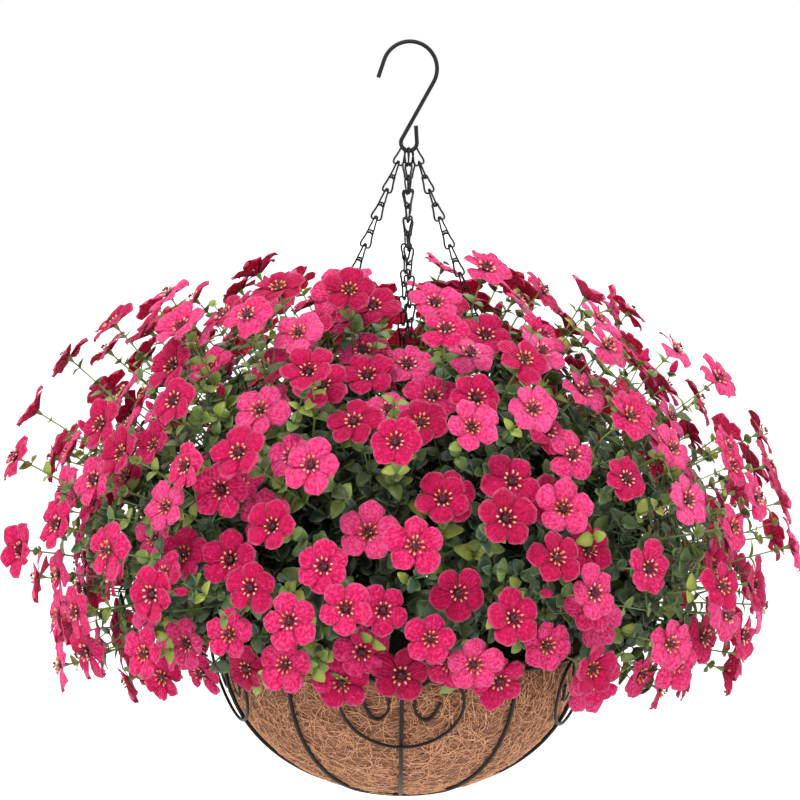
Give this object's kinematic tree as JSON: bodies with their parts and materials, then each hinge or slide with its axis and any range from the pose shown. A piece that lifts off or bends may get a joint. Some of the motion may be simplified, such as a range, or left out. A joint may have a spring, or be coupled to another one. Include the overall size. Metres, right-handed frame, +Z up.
{
  "type": "hanging basket of artificial flowers",
  "caption": "Open wire bowl with scrolls and a coir liner, hung on chains from an S-hook and filled with a loose dome of pink fabric flowers and small green leaves.",
  "frame": {"origin": "inside top of the S-hook's wide bend, where the hook sits on its bracket or rail", "axes": "+Z up, the way the hook lifts off its rail; the hook lies in the XZ plane and opens towards -X; -Y is the front, with one scroll at its middle"},
  "size_m": [0.614, 0.6182, 0.6141],
  "materials": {
    "black_wire": "satin black paint over steel wire",
    "coir": "matted coconut fibre, matt",
    "foam": "dark green florist's foam, matt",
    "petals": "woven polyester, fuchsia pink with paler edges",
    "stamens": "dark purple moulded plastic with cream and yellow tips",
    "leaves": "green polyethylene, paler at the tips",
    "stems": "green plastic over wire"
  },
  "bodies": {
    "hook": {"s_hook": "black_wire"},
    "basket": {"chain_front": "black_wire", "chain_front_top_link": "black_wire", "chain_front_rim_link": "black_wire", "chain_right": "black_wire", "chain_right_top_link": "black_wire", "chain_right_rim_link": "black_wire", "chain_back": "black_wire", "chain_back_top_link": "black_wire", "chain_back_rim_link": "black_wire", "chain_left": "black_wire", "chain_left_top_link": "black_wire", "chain_left_rim_link": "black_wire", "rim_ring": "black_wire", "foot_ring": "black_wire", "rib_01": "black_wire", "rib_02": "black_wire", "rib_03": "black_wire", "rib_04": "black_wire", "rib_05": "black_wire", "rib_06": "black_wire", "rib_07": "black_wire", "rib_08": "black_wire", "rib_09": "black_wire", "rib_10": "black_wire", "scroll_1": "black_wire", "scroll_2": "black_wire", "scroll_3": "black_wire", "scroll_4": "black_wire", "scroll_5": "black_wire", "coir_liner": "coir", "foam_block": "foam", "flower_spray_01": "petals", "flower_spray_02": "petals", "flower_spray_03": "petals", "flower_spray_04": "petals", "flower_spray_05": "petals", "flower_spray_06": "petals", "flower_spray_07": "petals", "flower_spray_08": "petals", "flower_spray_09": "petals", "flower_spray_10": "petals", "flower_spray_11": "petals", "flower_spray_12": "petals", "flower_spray_13": "petals", "flower_spray_14": "petals", "flower_spray_15": "petals", "flower_spray_16": "petals", "flower_spray_17": "petals", "flower_spray_18": "petals", "flower_spray_19": "petals", "flower_spray_20": "petals", "flower_spray_21": "petals", "flower_spray_22": "petals", "flower_spray_23": "petals", "flower_spray_24": "petals", "flower_spray_25": "petals", "flower_spray_26": "petals", "flower_spray_27": "petals", "flower_spray_28": "petals"}
  },
  "joints": [
    {"name": "basket_swing", "type": "hinge", "parent": "hook", "child": "basket", "pos_m": [0, 0, -0.0865], "axis": [1, 0, 0], "range_deg": [-20, 20]}
  ]
}
